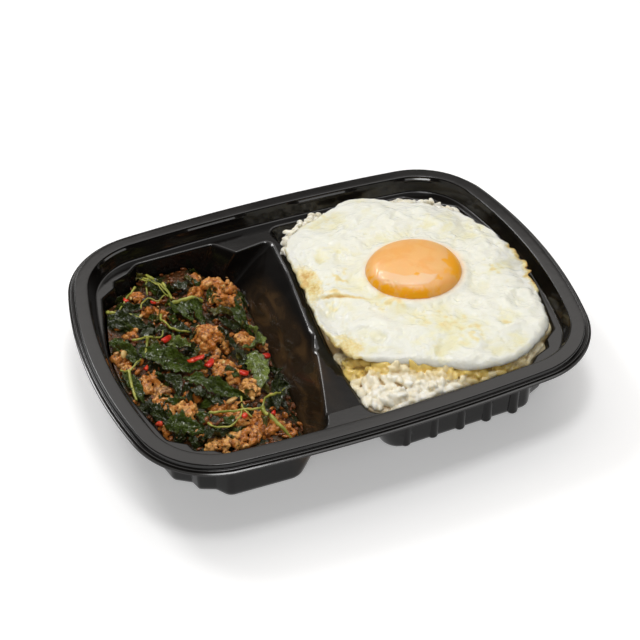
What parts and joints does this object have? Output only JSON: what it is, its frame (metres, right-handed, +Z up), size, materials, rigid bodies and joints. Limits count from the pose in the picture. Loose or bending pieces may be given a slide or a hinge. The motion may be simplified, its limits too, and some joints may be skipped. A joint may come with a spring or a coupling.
{
  "type": "bento box meal",
  "caption": "Black divided lunch tray with a minced pork and basil stir-fry on one side and a fried egg on white rice on the other.",
  "frame": {"origin": "on the surface the tray stands on, under the middle of its rim", "axes": "+X along the tray's length towards the rice, +Y towards the tray's back long side, +Z up"},
  "size_m": [0.22, 0.166, 0.0432],
  "materials": {
    "black_plastic": "satin",
    "stir_fry": "oily",
    "cooked_rice": "moist",
    "egg_white": "oily",
    "egg_yolk": "glossy"
  },
  "bodies": {
    "root": {"tray": "black_plastic", "stir_fry": "stir_fry", "rice": "cooked_rice", "egg_white": "egg_white", "egg_yolk": "egg_yolk"}
  },
  "joints": []
}
